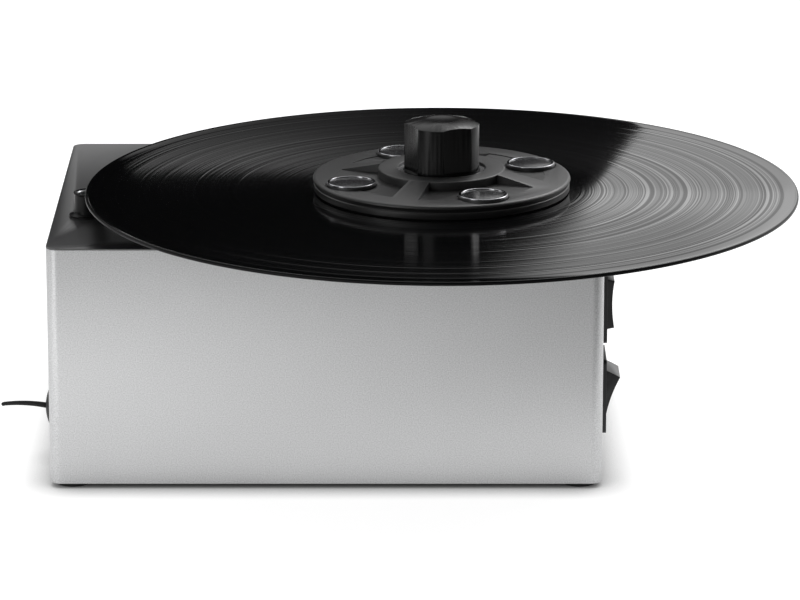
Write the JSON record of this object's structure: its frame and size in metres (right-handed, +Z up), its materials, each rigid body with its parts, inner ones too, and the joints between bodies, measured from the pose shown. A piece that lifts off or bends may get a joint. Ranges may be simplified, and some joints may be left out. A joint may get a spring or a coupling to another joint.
{
  "type": "record cleaning machine",
  "caption": "Compact metal box that cleans records: a driven turntable, a screw clamp with a knob, a sprung arm socket, rocker switches, a waste tank and a vacuum motor.",
  "frame": {"origin": "middle of the box around the whole part, on the surface that its feet stand on", "axes": "+X to the right as seen from the front with the record overhanging it, +Y from front to back, +Z up along the spindle"},
  "size_m": [0.3388, 0.3016, 0.1476],
  "materials": {
    "silver_wall": "bead blasted, clear anodised",
    "black_plate": "satin black lacquer",
    "steel": "turned and brushed",
    "rubber": "matt black",
    "bronze": "sintered",
    "white_plastic": "natural",
    "zinc_steel": "zinc plated sheet",
    "gear_plastic": "natural acetal",
    "brass": "turned",
    "aluminium": "turned",
    "vinyl": "pressed, grooved",
    "label_paper": "plain printed paper",
    "clamp_black": "satin moulded",
    "hub_black": "satin moulded",
    "knob_black": "satin, smooth",
    "chrome": "polished",
    "button_grey": "dark polished",
    "switch_black": "fine texture",
    "rocker_black": "satin moulded",
    "tank_plastic": "translucent natural",
    "hose_rubber": "matt",
    "board_green": "solder mask",
    "board_mixed": "moulded parts"
  },
  "bodies": {
    "case": {"case_sleeve": "silver_wall", "top_plate": "black_plate", "bottom_plate": "black_plate", "corner_posts": "aluminium", "feet": "rubber", "foot_screws": "steel", "bearing_housing": "aluminium", "bearing_bushes": "bronze", "bearing_nuts": "steel", "thrust_washer": "white_plastic", "motor_bracket": "zinc_steel", "bracket_standoffs": "aluminium", "bracket_screws": "steel", "gearmotor": "zinc_steel", "arm_socket": "knob_black", "socket_nut": "steel", "arm_spring": "steel", "direction_switch": "switch_black", "vacuum_switch": "switch_black", "rocker_pins": "steel", "switch_terminals": "brass", "waste_tank": "tank_plastic", "tank_lid": "tank_plastic", "vacuum_cradle": "zinc_steel", "motor_ring": "rubber", "vacuum_motor": "zinc_steel", "fan_shroud": "zinc_steel", "inlet_gasket": "rubber", "suction_hose": "hose_rubber", "mains_inlet": "switch_black", "inlet_pins": "steel", "inlet_screws": "steel", "board_posts": "aluminium", "power_board": "board_green", "board_parts": "board_mixed"},
    "pinion": {"motor_shaft": "steel", "motor_pinion": "brass"},
    "turntable": {"turntable_shaft": "steel", "turntable_gear": "gear_plastic", "platter": "aluminium", "platter_mat": "rubber", "spindle": "steel"},
    "record": {"record": "vinyl", "record_labels": "label_paper"},
    "clamp": {"clamp_disc": "clamp_black", "clamp_seal": "rubber", "hub_ring": "hub_black", "knob_washer": "steel", "knob_circlip": "steel", "button_rings": "chrome", "button_caps": "button_grey"},
    "knob": {"clamp_knob": "knob_black", "knob_insert": "brass"},
    "arm_carrier": {"spring_collar": "white_plastic"},
    "arm_sleeve": {"arm_sleeve": "aluminium"},
    "direction_rocker": {"direction_rocker": "rocker_black"},
    "vacuum_rocker": {"vacuum_rocker": "rocker_black"},
    "drain_plug": {"drain_plug": "rubber", "drain_tab": "rubber"},
    "impeller": {"impeller": "aluminium"}
  },
  "joints": [
    {"name": "turntable_spin", "type": "hinge", "parent": "case", "child": "turntable", "pos_m": [0.01865, 0, 0.1042], "axis": [0, 0, 1], "continuous": true},
    {"name": "pinion_spin", "type": "hinge", "parent": "case", "child": "pinion", "pos_m": [0.03793, 0.02298, 0.067], "axis": [0, 0, 1], "continuous": true},
    {"name": "record_lift", "type": "slide", "parent": "turntable", "child": "record", "axis": [0, 0, 1], "range_m": [0, 0.06]},
    {"name": "clamp_lift", "type": "slide", "parent": "record", "child": "clamp", "axis": [0, 0, 1], "range_m": [0, 0.02]},
    {"name": "knob_turn", "type": "hinge", "parent": "clamp", "child": "knob", "pos_m": [0.01865, 0, 0.1372], "axis": [0, 0, 1], "range_deg": [0, 7210]},
    {"name": "arm_press", "type": "slide", "parent": "case", "child": "arm_carrier", "axis": [0, 0, 1], "range_m": [-0.004, 0], "stiffness_N_per_m": 150, "springref_m": 0.004, "deforming": ["arm_spring"]},
    {"name": "arm_swivel", "type": "hinge", "parent": "arm_carrier", "child": "arm_sleeve", "pos_m": [-0.13165, 0.0063, 0.1042], "axis": [0, 0, 1], "range_deg": [-75, 75]},
    {"name": "direction_rock", "type": "hinge", "parent": "case", "child": "direction_rocker", "pos_m": [0.08395, -0.0227, 0.075], "axis": [0, 1, 0], "range_deg": [-15, 15]},
    {"name": "vacuum_rock", "type": "hinge", "parent": "case", "child": "vacuum_rocker", "pos_m": [0.08395, -0.0227, 0.0356], "axis": [0, 1, 0], "range_deg": [-36, 0]},
    {"name": "drain_pull", "type": "slide", "parent": "case", "child": "drain_plug", "axis": [-1, 0, 0], "range_m": [0, 0.022]},
    {"name": "impeller_spin", "type": "hinge", "parent": "case", "child": "impeller", "pos_m": [-0.02505, 0.0815, 0.05], "axis": [0, 0, 1], "continuous": true}
  ],
  "couplings": [
    {"joint": "pinion_spin", "follows": "turntable_spin", "ratio": -3},
    {"joint": "knob_turn", "follows": "clamp_lift", "rad_per_m": 6283.2}
  ]
}
